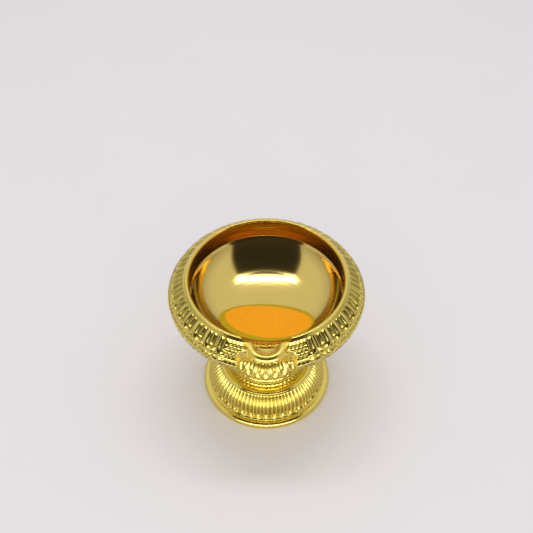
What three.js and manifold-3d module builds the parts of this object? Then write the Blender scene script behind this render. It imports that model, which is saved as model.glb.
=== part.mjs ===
// A small footed diya oil lamp of cast brass: a carved bowl with a wick spout, screwed to a carved knop
// that is riveted to a fluted, hollow foot. Millimetres, +Z up. The origin is on the table under the
// middle of the foot, and the spout points along -Y.
import * as THREE from "three";
import { mergeVertices } from "three/addons/utils/BufferGeometryUtils.js";
import Module from "manifold-3d";

// Overall sizes
const LAMP_HEIGHT = 54; // table to the bowl's rim
const SHOULDER_RADIUS = 31.75; // widest point of the carved shoulder
const FOOT_RADIUS = 22.1;

// Bowl, inside
const MOUTH_RADIUS = 24.8;
const MOUTH_UNDERCUT = 0.2; // how far the wall below the mouth leans outwards
const WALL_DEPTH = 7; // upright wall between the rim and the ledge
const LEDGE_WIDTH = 0.7; // step between the upright wall and the round of the bowl
const LEDGE_DROP = 0.8;
const BOWL_DEPTH = 16.8; // rim to the middle of the bowl's floor
const BOWL_FULLNESS = 2.5; // 2 makes the round part of an ellipse; more gives it a flatter floor
const ROUND_OVERRUN = 2.2; // how far past the ledge the round would turn upright

// Bowl, outside
const LIP_WIDTH = 1.4;
const EDGE_ROUND = 0.35; // small rounds and chamfers on the castings
const SHOULDER_DROP = 6.7; // rim to the widest point
const UPPER_BAND_DROP = 0.8; // rim to the start of the upper carved band
const UPPER_BAND_SWELL = 2.2; // how far above the split that band turns in towards the lip
const BAND_SPLIT_DROP = 5.2; // rim to the groove between the two carved bands
const BAND_SPLIT_INSET = 0.85; // how far that groove lies inside the widest point
const LOWER_BAND_DROP = 12.2; // rim to the end of the lower carved band
const LOWER_BAND_INSET = 3.3;
const LOWER_BAND_SWELL = 1.4; // how far above its end that band turns out to its widest
const FLOOR_THICKNESS = 2.7;
const SHELL_STEP = 1.4; // step from the lower band down to the plain underside
const SHELL_STEP_WIDTH = 3.25;
const SHELL_BEND_RADIUS = 17; // where the underside turns up to that step
const NECK_RADIUS = 6.4;
const BOSS_RADIUS = 8.4; // flange of the bowl's boss, which screws down on the knop
const BOSS_FLANGE = 1.1;
const NECK_LENGTH = 8.8; // bowl's underside to the bottom of its boss
const PETALS = 40; // carved petals round the shoulder
const PETAL_GROOVE = 0.75;

// Spout
const SPOUT_LENGTH = 6.4; // mouth to the tip of the nose
const SPOUT_ROOT_HALF_WIDTH = 7.7; // where the nose leaves the mouth
const SPOUT_NOSE_RADIUS = 6.4;
const SPOUT_TOP_DROP = 2.2; // rim to the spout's lip
const SPOUT_THICKNESS = 4.4; // lip to keel
const SPOUT_KEEL_RISE = 1.6; // how far the keel climbs towards the tip
const CHANNEL_RADIUS = 5.6; // round of the wick channel
const CHANNEL_DEPTH = 2.4; // lip to the channel's floor
const CHANNEL_LENGTH = 0.7; // mouth to the centre of the channel's rounded end
const RELIEF_HALF_WIDTH = 9.3; // half the gap in the carving at the spout
const RELIEF_WALL = 2.4; // bowl wall left behind the spout, at the mouth
const RELIEF_UNDERCUT_DROP = 9; // rim to where its plain face turns inwards
const RELIEF_FOOT_DROP = 14;
const RELIEF_FOOT_INSET = 3.6;

// Label inside the bowl
const LABEL_LENGTH = 31;
const LABEL_WIDTH = 16.6;
const LABEL_THICKNESS = 0.2;
const LABEL_FORWARD = 5.6; // how far it sits towards the spout
const LABEL_TURN = THREE.MathUtils.degToRad(-3);
const LABEL_MARGIN = 1; // how far the skin it is cut from runs past its ends

// Screwed joint
const STUD_RADIUS = 3;
const STUD_IN_BOSS = 3.4;
const STUD_ENGAGEMENT = 5; // stud length inside the knop
const STUD_CHAMFER = 0.4;
const WASHER_RADIUS = 7.2;
const WASHER_THICKNESS = 0.6;

// Knop
const KNOP_RADIUS = 13.5;
const KNOP_BEAD_HEIGHT = 2.2; // beaded band at the knop's foot
const KNOP_BEAD_INSET = 0.5;
const KNOP_NECK_DROP = 2.4; // knop's top to the end of its carved dome
const KNOP_SWELL = 1.4; // how far below its end the dome turns in
const KNOP_NECK_RADIUS = 7.4;
const KNOP_TOP_RADIUS = 8.4;
const KNOP_LEAVES = 26;
const KNOP_GROOVE = 0.6;
const TENON_RADIUS = 6.2; // riveted through the foot's plate
const TENON_RIVET = 1; // how far it shows under the plate

// Foot
const FOOT_HEIGHT = 13.1; // table to the knop's seat
const FOOT_EDGE_HEIGHT = 2;
const FOOT_EDGE_ROUND = 0.5;
const FOOT_EDGE_LEAN = 0.6; // how far the top of that edge leans inwards
const EDGE_WIDTH = 1.9; // plain edge outside the fluted skirt
const SKIRT_SPREAD = 3.4; // how far the skirt flares from the dish's edge
const SKIRT_FOOT_HEIGHT = 2.8;
const SKIRT_SWELL = 3.3; // how far below the dish's edge the skirt turns down
const DISH_HEIGHT = 12.4; // beaded edge of the dish
const DISH_BEAD = 0.45;
const DISH_ROLL = 0.8; // how far inside its edge the dish rounds over
const FOOT_WALL = 2.2;
const REST_WIDTH = 2.3; // flat ring that stands on the table
const FLUTES = 44;
const FLUTE_DEPTH = 0.75;

// Clearances
const SEAT_GAP = 0.05; // between faces that rest on each other
const CUT_GAP = 0.3; // round the spout in its notch
const LABEL_GAP = 0.15; // under the label
const STUD_FIT = 0.05; // round the stud in the bowl's boss
const THREAD_GAP = 0.15; // round the stud in the knop
const TENON_GAP = 0.1;
const STUD_END_GAP = 0.2;

// Facets
const CURVE_STEPS = 5;
const ROUND_STEPS = 10; // along the round of the bowl and the channel
const OUTLINE_STEPS = 20; // along the spout's nose, and round the label
const ROUND_FACETS = 32;
const LABEL_FACETS = 40;
const MERGE_TOLERANCE = 1e-4;
const PAST = 10; // how far a cutting solid runs past what it cuts

// Places that follow from the sizes
const bowlFloor = LAMP_HEIGHT - BOWL_DEPTH;
const bowlUnderside = bowlFloor - FLOOR_THICKNESS;
const bossBottom = bowlUnderside - NECK_LENGTH;
const washerBottom = bossBottom - SEAT_GAP - WASHER_THICKNESS;
const knopTop = washerBottom - SEAT_GAP;
const ledgeRadius = MOUTH_RADIUS + MOUTH_UNDERCUT - LEDGE_WIDTH;
const ledgeHeight = LAMP_HEIGHT - WALL_DEPTH - LEDGE_DROP;
const roundRadius = ledgeRadius + ROUND_OVERRUN;
const ledgeShare = 1 - (1 - (ledgeRadius / roundRadius) ** BOWL_FULLNESS) ** (1 / BOWL_FULLNESS);
const roundHeight = (ledgeHeight - bowlFloor) / ledgeShare;
const spoutTop = LAMP_HEIGHT - SPOUT_TOP_DROP;
const spoutBottom = spoutTop - SPOUT_THICKNESS;
const spoutReach = MOUTH_RADIUS + SPOUT_LENGTH;
const spoutRoot = MOUTH_RADIUS - LEDGE_WIDTH;
const reliefFace = MOUTH_RADIUS + RELIEF_WALL;
const skirtRadius = FOOT_RADIUS - EDGE_WIDTH;
const dishRadius = skirtRadius - SKIRT_SPREAD;
const studBore = STUD_RADIUS + THREAD_GAP;

const wasm = await Module();
wasm.setup();

// A profile of (radius, height) points, drawn by lines and curves and then turned about the lamp's axis.
// A curve can carry grooves, which fade in and out along it and cut every second ray of the turned shape.
class Profile {
  constructor(radius, height) {
    this.points = [new THREE.Vector2(radius, height)];
    this.grooves = [0];
  }

  line(radius, height) {
    const point = new THREE.Vector2(radius, height);
    if (point.distanceTo(this.points.at(-1)) > MERGE_TOLERANCE) {
      this.points.push(point);
      this.grooves.push(0);
    }
    return this;
  }

  curve(bendRadius, bendHeight, radius, height, groove = 0, steps = CURVE_STEPS) {
    const bend = new THREE.Vector2(bendRadius, bendHeight);
    const end = new THREE.Vector2(radius, height);
    const stroke = new THREE.QuadraticBezierCurve(this.points.at(-1), bend, end);
    for (let step = 1; step <= steps; step += 1) {
      this.points.push(stroke.getPoint(step / steps));
      this.grooves.push(groove * Math.sin((Math.PI * step) / steps));
    }
    return this;
  }

  // Along the round of the bowl's inside, lifted, from one radius to another.
  well(lift, fromRadius, toRadius, steps = ROUND_STEPS) {
    const power = 2 / BOWL_FULLNESS;
    const from = Math.asin((fromRadius / roundRadius) ** (1 / power));
    const to = Math.asin((toRadius / roundRadius) ** (1 / power));
    for (let step = 0; step <= steps; step += 1) {
      const angle = from + ((to - from) * step) / steps;
      const rise = roundHeight * (1 - Math.cos(angle) ** power);
      this.line(roundRadius * Math.sin(angle) ** power, bowlFloor + lift + rise);
    }
    return this;
  }

  close() {
    return this.line(this.points[0].x, this.points[0].y);
  }

  turned(rays) {
    const geometry = new THREE.LatheGeometry(this.points, rays);
    geometry.rotateX(Math.PI / 2);
    const position = geometry.getAttribute("position");
    for (let k = 0; k < position.count; k += 1) {
      const ray = Math.floor(k / this.points.length);
      const depth = ray % 2 === 0 ? 0 : this.grooves[k % this.points.length];
      if (depth === 0) continue;
      const radius = Math.hypot(position.getX(k), position.getY(k));
      const keep = (radius - depth) / radius;
      position.setXY(k, position.getX(k) * keep, position.getY(k) * keep);
    }
    return geometry;
  }
}

function solid(geometry) {
  const bare = geometry.clone();
  bare.deleteAttribute("normal");
  bare.deleteAttribute("uv");
  const merged = mergeVertices(bare, MERGE_TOLERANCE);
  const vertProperties = merged.getAttribute("position").array;
  const triVerts = new Uint32Array(merged.index.array);
  return new wasm.Manifold(new wasm.Mesh({ numProp: 3, vertProperties, triVerts }));
}

function geometryOf(shape) {
  const mesh = shape.getMesh();
  const geometry = new THREE.BufferGeometry();
  geometry.setAttribute("position", new THREE.BufferAttribute(mesh.vertProperties, mesh.numProp));
  geometry.setIndex(new THREE.BufferAttribute(mesh.triVerts, 1));
  geometry.computeVertexNormals();
  return geometry;
}

// An outline seen from above, standing between two heights.
function upright(shape, bottom, top) {
  const geometry = new THREE.ExtrudeGeometry(shape, {
    depth: top - bottom,
    bevelEnabled: false,
    curveSegments: OUTLINE_STEPS,
  });
  return geometry.translate(0, 0, bottom);
}

// An outline of (y, z) points, running across the lamp by half a width each way.
function across(shape, halfWidth) {
  const geometry = upright(shape, -halfWidth, halfWidth);
  const sideways = new THREE.Matrix4().makeBasis(
    new THREE.Vector3(0, 1, 0),
    new THREE.Vector3(0, 0, 1),
    new THREE.Vector3(1, 0, 0),
  );
  return geometry.applyMatrix4(sideways);
}

// The hollow of the bowl, as a solid that reaches past the rim.
function bowlHollow() {
  const hollow = new Profile(0, LAMP_HEIGHT + PAST)
    .line(MOUTH_RADIUS, LAMP_HEIGHT + PAST)
    .line(MOUTH_RADIUS, LAMP_HEIGHT)
    .line(MOUTH_RADIUS + MOUTH_UNDERCUT, LAMP_HEIGHT - WALL_DEPTH)
    .well(0, ledgeRadius, 0);
  hollow.points.reverse();
  return solid(hollow.turned(2 * PETALS));
}

// The spout's plan, grown by a gap all round: straight cheeks that draw in to a round nose.
function spoutPlan(gap) {
  const noseCentre = spoutReach - SPOUT_NOSE_RADIUS;
  const noseRadius = SPOUT_NOSE_RADIUS + gap;
  const rootHalfWidth = SPOUT_ROOT_HALF_WIDTH + gap;
  const rootToNose = noseCentre - spoutRoot;
  const rootDistance = Math.hypot(rootHalfWidth, rootToNose);
  const halfArc = Math.atan2(rootToNose, rootHalfWidth) + Math.asin(noseRadius / rootDistance);
  const front = 1.5 * Math.PI;
  const plan = new THREE.Shape();
  plan.moveTo(rootHalfWidth, PAST - spoutRoot);
  plan.lineTo(-rootHalfWidth, PAST - spoutRoot);
  plan.lineTo(-rootHalfWidth, -spoutRoot);
  plan.absarc(0, -noseCentre, noseRadius, front - halfArc, front + halfArc, false);
  plan.lineTo(rootHalfWidth, -spoutRoot);
  plan.closePath();
  return plan;
}

// The spout's side view: a level lip, a round nose and a keel that climbs to the tip.
function spoutSide() {
  const noseBottom = spoutBottom + SPOUT_KEEL_RISE;
  const side = new THREE.Shape();
  side.moveTo(-spoutRoot, spoutTop);
  side.lineTo(EDGE_ROUND - spoutReach, spoutTop);
  side.lineTo(-spoutReach, spoutTop - EDGE_ROUND);
  side.quadraticCurveTo(-spoutReach, noseBottom, -reliefFace, spoutBottom);
  side.lineTo(-spoutRoot, spoutBottom);
  side.closePath();
  return side;
}

// The plain face behind the spout, where the carved shoulder is cut away.
function spoutRelief() {
  const faceBottom = LAMP_HEIGHT - RELIEF_UNDERCUT_DROP;
  const foot = LAMP_HEIGHT - RELIEF_FOOT_DROP;
  const outside = -(SHOULDER_RADIUS + PAST);
  const relief = new THREE.Shape();
  relief.moveTo(-reliefFace, LAMP_HEIGHT + PAST);
  relief.lineTo(outside, LAMP_HEIGHT + PAST);
  relief.lineTo(outside, foot);
  relief.lineTo(RELIEF_FOOT_INSET - reliefFace, foot);
  relief.lineTo(-reliefFace, faceBottom);
  relief.closePath();
  return solid(across(relief, RELIEF_HALF_WIDTH));
}

// Cast bowl, turned inside, with a blind hole for the stud in its boss.
function oilBowl() {
  const studHole = STUD_RADIUS + STUD_FIT;
  const holeRoof = bossBottom + STUD_IN_BOSS + STUD_END_GAP;
  const lipRadius = MOUTH_RADIUS + LIP_WIDTH;
  const lipSide = LAMP_HEIGHT - EDGE_ROUND;
  const widest = LAMP_HEIGHT - SHOULDER_DROP;
  const bandSplit = LAMP_HEIGHT - BAND_SPLIT_DROP;
  const bandEnd = LAMP_HEIGHT - LOWER_BAND_DROP;
  const splitRadius = SHOULDER_RADIUS - BAND_SPLIT_INSET;
  const bandEndRadius = SHOULDER_RADIUS - LOWER_BAND_INSET;
  const shellTopRadius = bandEndRadius - SHELL_STEP_WIDTH;
  const neckSide = bossBottom + BOSS_FLANGE;
  const outline = new Profile(0, holeRoof)
    .line(studHole, holeRoof)
    .line(studHole, bossBottom)
    .line(BOSS_RADIUS, bossBottom)
    .line(BOSS_RADIUS, neckSide)
    .line(NECK_RADIUS, neckSide + EDGE_ROUND)
    .line(NECK_RADIUS, bowlUnderside)
    .curve(SHELL_BEND_RADIUS, bowlUnderside, shellTopRadius, bandEnd - SHELL_STEP)
    .line(bandEndRadius, bandEnd)
    .curve(SHOULDER_RADIUS, bandEnd + LOWER_BAND_SWELL, SHOULDER_RADIUS, widest, PETAL_GROOVE)
    .line(splitRadius, bandSplit)
    .curve(
      splitRadius - BAND_SPLIT_INSET,
      bandSplit + UPPER_BAND_SWELL,
      lipRadius + EDGE_ROUND,
      LAMP_HEIGHT - UPPER_BAND_DROP,
      PETAL_GROOVE,
    )
    .line(lipRadius, lipSide)
    .line(lipRadius - EDGE_ROUND, LAMP_HEIGHT)
    .line(MOUTH_RADIUS + EDGE_ROUND, LAMP_HEIGHT)
    .line(MOUTH_RADIUS, lipSide)
    .line(MOUTH_RADIUS + MOUTH_UNDERCUT, LAMP_HEIGHT - WALL_DEPTH)
    .well(0, ledgeRadius, 0);
  const notch = solid(upright(spoutPlan(CUT_GAP), spoutBottom - CUT_GAP, LAMP_HEIGHT + PAST));
  return geometryOf(solid(outline.turned(2 * PETALS)).subtract(spoutRelief()).subtract(notch));
}

// Smooth cast scoop, brazed into the notch in the bowl's rim.
function wickSpout() {
  const plan = solid(upright(spoutPlan(0), spoutBottom, spoutTop));
  const side = solid(across(spoutSide(), SPOUT_ROOT_HALF_WIDTH + PAST));
  const run = MOUTH_RADIUS + CHANNEL_LENGTH;
  const channel = new THREE.CapsuleGeometry(CHANNEL_RADIUS, run, ROUND_STEPS, ROUND_FACETS);
  channel.translate(0, -run / 2, spoutTop - CHANNEL_DEPTH + CHANNEL_RADIUS);
  return geometryOf(plan.intersect(side).subtract(solid(channel)).subtract(bowlHollow()));
}

// Blank oval label on the floor of the bowl.
function bowlLabel() {
  const reach = Math.hypot(LABEL_LENGTH / 2, LABEL_FORWARD) + LABEL_MARGIN;
  const top = LABEL_GAP + LABEL_THICKNESS;
  const skin = new Profile(0, bowlFloor + LABEL_GAP)
    .well(LABEL_GAP, 0, reach, CURVE_STEPS)
    .well(top, reach, 0, CURVE_STEPS);
  const oval = new THREE.Shape();
  const half = [LABEL_LENGTH / 2, LABEL_WIDTH / 2];
  oval.absellipse(0, -LABEL_FORWARD, ...half, 0, 2 * Math.PI, false, LABEL_TURN);
  const cutter = solid(upright(oval, bowlUnderside, LAMP_HEIGHT));
  return geometryOf(solid(skin.turned(LABEL_FACETS)).intersect(cutter));
}

// Threaded stud, fast in the bowl's boss and screwed into the knop. Its thread is a plain cylinder here.
function bowlStud() {
  const bottom = knopTop - STUD_ENGAGEMENT;
  const top = bossBottom + STUD_IN_BOSS;
  return new Profile(0, bottom)
    .line(STUD_RADIUS - STUD_CHAMFER, bottom)
    .line(STUD_RADIUS, bottom + STUD_CHAMFER)
    .line(STUD_RADIUS, top)
    .line(0, top)
    .turned(ROUND_FACETS);
}

// Thin washer on the stud, pinched between the boss and the knop.
function seatWasher() {
  return new Profile(studBore, washerBottom)
    .line(WASHER_RADIUS, washerBottom)
    .line(WASHER_RADIUS, washerBottom + WASHER_THICKNESS)
    .line(studBore, washerBottom + WASHER_THICKNESS)
    .close()
    .turned(ROUND_FACETS);
}

// Carved dome between the foot and the bowl, bored for the stud and riveted through the foot's plate.
function stemKnop() {
  const seat = FOOT_HEIGHT + SEAT_GAP;
  const tenonEnd = FOOT_HEIGHT - FOOT_WALL - TENON_RIVET;
  const domeFoot = seat + KNOP_BEAD_HEIGHT;
  const domeTop = knopTop - KNOP_NECK_DROP;
  const domeRadius = KNOP_RADIUS - KNOP_BEAD_INSET;
  return new Profile(studBore, tenonEnd)
    .line(TENON_RADIUS, tenonEnd)
    .line(TENON_RADIUS, seat)
    .line(KNOP_RADIUS - EDGE_ROUND, seat)
    .line(KNOP_RADIUS, seat + EDGE_ROUND)
    .line(KNOP_RADIUS, domeFoot - EDGE_ROUND)
    .line(domeRadius, domeFoot)
    .curve(domeRadius, domeTop - KNOP_SWELL, KNOP_NECK_RADIUS, domeTop, KNOP_GROOVE)
    .line(NECK_RADIUS, domeTop + EDGE_ROUND)
    .line(KNOP_TOP_RADIUS, knopTop - BOSS_FLANGE)
    .line(KNOP_TOP_RADIUS, knopTop)
    .line(studBore, knopTop)
    .close()
    .turned(2 * KNOP_LEAVES);
}

// Hollow foot: a flat rest ring, a plain edge, a fluted skirt and a smooth dish up to the knop.
function pedestalFoot() {
  const hole = TENON_RADIUS + TENON_GAP;
  const plateUnder = FOOT_HEIGHT - FOOT_WALL;
  const edgeSide = FOOT_RADIUS - FOOT_EDGE_ROUND;
  const skirtTop = DISH_HEIGHT - DISH_BEAD;
  const beadRadius = dishRadius - DISH_BEAD;
  return new Profile(hole, plateUnder)
    .line(KNOP_RADIUS - FOOT_WALL, plateUnder)
    .curve(skirtRadius - FOOT_WALL, plateUnder - FOOT_WALL, edgeSide - REST_WIDTH, 0)
    .line(edgeSide, 0)
    .line(FOOT_RADIUS, FOOT_EDGE_ROUND)
    .line(FOOT_RADIUS, FOOT_EDGE_HEIGHT)
    .curve(FOOT_RADIUS - FOOT_EDGE_LEAN, SKIRT_FOOT_HEIGHT, skirtRadius, SKIRT_FOOT_HEIGHT, 0, 3)
    .curve(skirtRadius, DISH_HEIGHT - SKIRT_SWELL, beadRadius, skirtTop, FLUTE_DEPTH)
    .line(dishRadius, DISH_HEIGHT - DISH_BEAD / 2)
    .line(beadRadius, DISH_HEIGHT)
    .curve(beadRadius - DISH_ROLL, FOOT_HEIGHT, KNOP_RADIUS, FOOT_HEIGHT)
    .line(hole, FOOT_HEIGHT)
    .close()
    .turned(2 * FLUTES);
}

function node(name, geometry, color, roughness, metalness) {
  const mesh = new THREE.Mesh(geometry, new THREE.MeshStandardMaterial({ color, roughness, metalness }));
  mesh.name = name;
  return mesh;
}

const BRASS = "#c9a83a";
const bowl = new THREE.Group();
bowl.add(
  node("oil_bowl", oilBowl(), BRASS, 0.2, 1),
  node("wick_spout", wickSpout(), "#d3b444", 0.2, 1),
  node("bowl_stud", bowlStud(), "#b0913a", 0.4, 1),
  node("bowl_label", bowlLabel(), "#ff9d00", 0.35, 0.2),
);
const pedestal = new THREE.Group();
pedestal.add(
  node("stem_knop", stemKnop(), BRASS, 0.25, 1),
  node("pedestal_foot", pedestalFoot(), BRASS, 0.25, 1),
);
const lamp = new THREE.Group();
lamp.add(bowl, node("seat_washer", seatWasher(), "#8a5a34", 0.8, 0), pedestal);

export default lamp;
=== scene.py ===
"""Small footed brass oil lamp: carved bowl, brazed wick spout, carved knop and fluted foot."""

import math

import bmesh
import bpy
import numpy as np
from bpy.props import FloatProperty, FloatVectorProperty, IntProperty, PointerProperty
from bpy.types import Operator, Panel, PropertyGroup
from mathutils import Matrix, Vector


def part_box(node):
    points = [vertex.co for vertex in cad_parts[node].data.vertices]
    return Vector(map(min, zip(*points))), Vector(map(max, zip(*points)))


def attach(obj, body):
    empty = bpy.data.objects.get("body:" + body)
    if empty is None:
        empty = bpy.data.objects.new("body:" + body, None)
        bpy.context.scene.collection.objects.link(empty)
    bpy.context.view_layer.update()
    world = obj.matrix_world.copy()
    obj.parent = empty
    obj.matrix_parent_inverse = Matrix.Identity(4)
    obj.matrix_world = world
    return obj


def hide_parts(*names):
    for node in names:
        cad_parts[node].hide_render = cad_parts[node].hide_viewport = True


bl_info = {
    "name": "Footed oil lamp",
    "version": (1, 0, 0),
    "blender": (4, 5, 0),
    "location": "3D View > Sidebar > Lamp",
    "description": "Builds a footed brass oil lamp piece by piece around its packed frame",
    "category": "Object",
}

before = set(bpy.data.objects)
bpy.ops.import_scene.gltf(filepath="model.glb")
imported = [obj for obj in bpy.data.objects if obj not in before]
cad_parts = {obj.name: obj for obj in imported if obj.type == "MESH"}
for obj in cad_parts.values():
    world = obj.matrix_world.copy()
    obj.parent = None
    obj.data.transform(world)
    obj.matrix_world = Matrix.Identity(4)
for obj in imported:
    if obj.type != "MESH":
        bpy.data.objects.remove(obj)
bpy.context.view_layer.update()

MM = 0.001
TAU = 2 * math.pi


def from_frame(node, corner, axis):
    """A corner of a frame node's box, in millimetres."""
    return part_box(node)[corner][axis] / MM


LAMP_HEIGHT = from_frame("oil_bowl", 1, 2)
SHOULDER_RADIUS = from_frame("oil_bowl", 1, 0)
BOSS_BOTTOM = from_frame("oil_bowl", 0, 2)
SPOUT_BOTTOM = from_frame("wick_spout", 0, 2)
SPOUT_TOP = from_frame("wick_spout", 1, 2)
SPOUT_REACH = -from_frame("wick_spout", 0, 1)
FOOT_RADIUS = from_frame("pedestal_foot", 1, 0)
FOOT_HEIGHT = from_frame("pedestal_foot", 1, 2)
KNOP_RADIUS = from_frame("stem_knop", 1, 0)
KNOP_TOP = from_frame("stem_knop", 1, 2)
TENON_END = from_frame("stem_knop", 0, 2)
STUD_BOTTOM = from_frame("bowl_stud", 0, 2)
STUD_TOP = from_frame("bowl_stud", 1, 2)
STUD_RADIUS = from_frame("bowl_stud", 1, 0)
WASHER_BOTTOM = from_frame("seat_washer", 0, 2)
WASHER_TOP = from_frame("seat_washer", 1, 2)
WASHER_RADIUS = from_frame("seat_washer", 1, 0)


def below_rim(drop):
    """A height so far below the bowl's rim."""
    return LAMP_HEIGHT - drop


def shoulder_corner(inward, drop):
    """A corner of the bowl's section, placed from the shoulder's widest point and the rim."""
    return SHOULDER_RADIUS - inward, below_rim(drop)


# Every size down to the stage is in millimetres.

# Bowl
MOUTH_RADIUS = 24.8
LIP_RADIUS = 26.2
EDGE_ROUND = 0.35
WALL_FLARE = 0.2
WALL_FOOT = below_rim(7)
LEDGE_RADIUS = 24.3
LEDGE_HEIGHT = below_rim(7.8)
BOWL_FLOOR = below_rim(16.8)
BOWL_SPREAD = 26.5
BOWL_FULLNESS = 2.5
BOWL_UNDERSIDE = below_rim(19.5)
SHELL_BEND_RADIUS = 17
SHELL_EDGE = shoulder_corner(6.55, 13.6)
SHELL_STEP = shoulder_corner(3.3, 12.2)
SHOULDER_BEND = shoulder_corner(0, 10.8)
SHOULDER_WIDEST = shoulder_corner(0, 6.7)
SHOULDER_TOP = shoulder_corner(0.85, 5.2)
PETAL_BEND = shoulder_corner(1.7, 3)
PETAL_TOP = (LIP_RADIUS + EDGE_ROUND, below_rim(0.8))
NECK_RADIUS = 6.4
BOSS_RADIUS = 8.4
BOSS_FLANGE = 1.1
STUD_HOLE = 3.05
STUD_HOLE_ROOF = STUD_TOP + 0.2

# Punched ground beside the spout: the half angle, in radians, over which it gives way to the carving
GROUND_FADE = (0.47, 0.42)
# and the radius and height of the bands of petals and leaves, for the spacing of its dots
PETAL_BAND = (29.5, 7)
LEAF_BAND = (30.5, 9)

# Plain hollow beside and under the spout: how far below the rim and out from the axis its face is
RELIEF_FACE = ((15.4, 22.2), (12, 23.8), (7.5, 25.4), (3.2, 27.2), (-3, 27.2))
RELIEF_HALF_WIDTH = 9.3
RELIEF_ROUND = 1.9
RELIEF_REACH = 36

# Spout
SPOUT_TAIL = 20
SPOUT_ROOT = 24.1
SPOUT_HALF_WIDTH = 7.7
SPOUT_NOSE_RADIUS = 6.4
CHANNEL_HALF_WIDTH = 4.7
CHANNEL_NOSE_RADIUS = 4.3
CHANNEL_CENTRE = 25.3
NOTCH_GAP = 0.08
CUTTER_OVERRUN = 2
SPOUT_VOXEL = 0.13

# How far the spout's outline is drawn in, going up from its keel to its widest, and on to its lip
SPOUT_HULL = ((0, 3.2), (0.6, 2.0), (1.4, 1.0), (2.3, 0.3), (3.1, 0))
SPOUT_LIP = ((3.5, 0.1), (3.9, 0.35), (4.2, 0.75), (4.4, 1.3))
# How far the channel's outline is drawn in, going down from above the lip to its floor
CHANNEL_HOLLOW = ((-0.5, -0.3), (0, 0), (0.3, 0.3), (0.9, 0.8), (1.6, 1.7), (2.1, 2.7), (2.35, 3.6))

# Knop
STUD_BORE = 3.15
TENON_RADIUS = 6.2
KNOP_TOP_RADIUS = 8.4
KNOP_BEAD_HEIGHT = 2.2
KNOP_BEAD_DEPTH = 0.35
KNOP_BEAD_LEDGE = 0.5
KNOP_DOME_DROP = 2.4
KNOP_DOME_BEND = 1.4
KNOP_DOME_RADIUS = 7.4
SEAT_GAP = 0.05

# Foot
FOOT_HOLE = 6.3
FOOT_WALL = 2.2
FOOT_RING = 2.3
FOOT_ROUND = 0.5
FOOT_EDGE = 2.0
FOOT_EDGE_LEAN = 0.6
SKIRT_RADIUS = 20.2
SKIRT_FOOT = 2.8
SKIRT_BEND_DROP = 3.3
DISH_RADIUS = 16.8
DISH_HEIGHT = 12.4
DISH_BEAD = 0.45
DISH_ROLL = (0.4, 0.1)
DISH_ROLL_END = (1.3, 0.02)

# Label
LABEL_HALF_LENGTH = 15.5
LABEL_HALF_WIDTH = 8.3
LABEL_FORWARD = 5.6
LABEL_TURN = math.radians(-3)
MIDDLE_TURN = math.radians(-5)
MIDDLE_SHIFT = (0.7, 0.35)
LABEL_GAP = 0.05
LABEL_THICKNESS = 0.12
LABEL_CREASE = 0.012

# Where the orange painted reflection begins, going up the bowl's wall, and where it is full
PAINTED_REFLECTION_START = WALL_FOOT - 0.6
PAINTED_REFLECTION_FULL = WALL_FOOT + 0.6

# Points round each turned piece: at least twelve across each petal, leaf or flute
BOWL_RAYS = 480
KNOP_RAYS = 480
FOOT_RAYS = 528
CUTTER_RAYS = 240
STUD_RAYS = 72
WASHER_RAYS = 96

# Stage, in metres and watts: each light is its name, place, aim, width, depth and power
FLOOR_REACH = 3.0
CARD_CORNERS = (
    (-0.46, -0.47, 0.17),
    (0.46, -0.47, 0.17),
    (0.21, 0.045, 0.537),
    (-0.21, 0.045, 0.537),
)
STUDIO_LIGHT = (0.80, 0.79, 0.80)
LIGHTS = (
    ("strip", (0, 0.11, 0.55), (0, 0, 0.03), 0.4, 0.07, 0.7),
    ("front", (0, -0.45, 0.05), (0, 0, 0.02), 0.8, 0.09, 1.5),
    ("bounce", (0, -0.095, 0.04), (0, 0, 0.02), 0.16, 0.05, 0.04),
)
CAMERA_PLACE = (0, -0.215, 0.2986)
CAMERA_TILT = math.radians(41.9)
CAMERA_LENS = 69.3


def linear(text):
    """A colour written as sRGB hex, in linear light."""
    levels = [int(text[k : k + 2], 16) / 255 for k in (1, 3, 5)]
    return tuple(c / 12.92 if c <= 0.04045 else ((c + 0.055) / 1.055) ** 2.4 for c in levels)


def length(name, description, millimetres, low, high):
    """A size that a user may change, held in metres."""
    return FloatProperty(
        name=name,
        description=description,
        default=millimetres * MM,
        min=low * MM,
        max=high * MM,
        precision=5,
        unit="LENGTH",
    )


def number(name, description, default, low, high):
    """A count that a user may change."""
    return IntProperty(name=name, description=description, default=default, min=low, max=high)


def colour(name, description, text):
    """A colour that a user may change."""
    return FloatVectorProperty(
        name=name,
        description=description,
        default=linear(text),
        min=0,
        max=1,
        size=3,
        subtype="COLOR",
    )


class LampSizes(PropertyGroup):
    """Sizes of the carving, turning and thread."""

    petals: number("Petals", "Petals round the shoulder", 40, 12, 64)
    petal_depth: length("Petal depth", "How deep the shoulder's petals are cut", 0.85, 0.1, 1.2)
    leaf_depth: length("Leaf depth", "How deep the leaves under the shoulder are cut", 0.5, 0.1, 1.2)
    stipple: length("Stipple", "Spacing of the punched dots beside the spout", 1.35, 0.5, 2)
    knop_leaves: number("Knop leaves", "Leaves round the knop", 26, 8, 48)
    knop_depth: length("Knop depth", "How deep the knop's leaves are cut", 0.5, 0.1, 0.8)
    knop_beads: number("Knop beads", "Beads round the knop's foot", 60, 12, 96)
    flutes: number("Flutes", "Flutes round the foot", 44, 12, 64)
    flute_depth: length("Flute depth", "How deep the foot's flutes are cut", 0.75, 0.1, 1)
    turning: length("Turning marks", "Height of the tool marks inside the bowl", 0.006, 0, 0.05)
    thread_pitch: length("Thread pitch", "Rise of the stud's thread in one turn", 1.25, 0.5, 2)
    thread_depth: length("Thread depth", "How deep the stud's thread is cut", 0.55, 0.1, 0.8)
    label_border: length("Label border", "Width of the label's plain border", 1.5, 0.2, 3)


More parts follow.
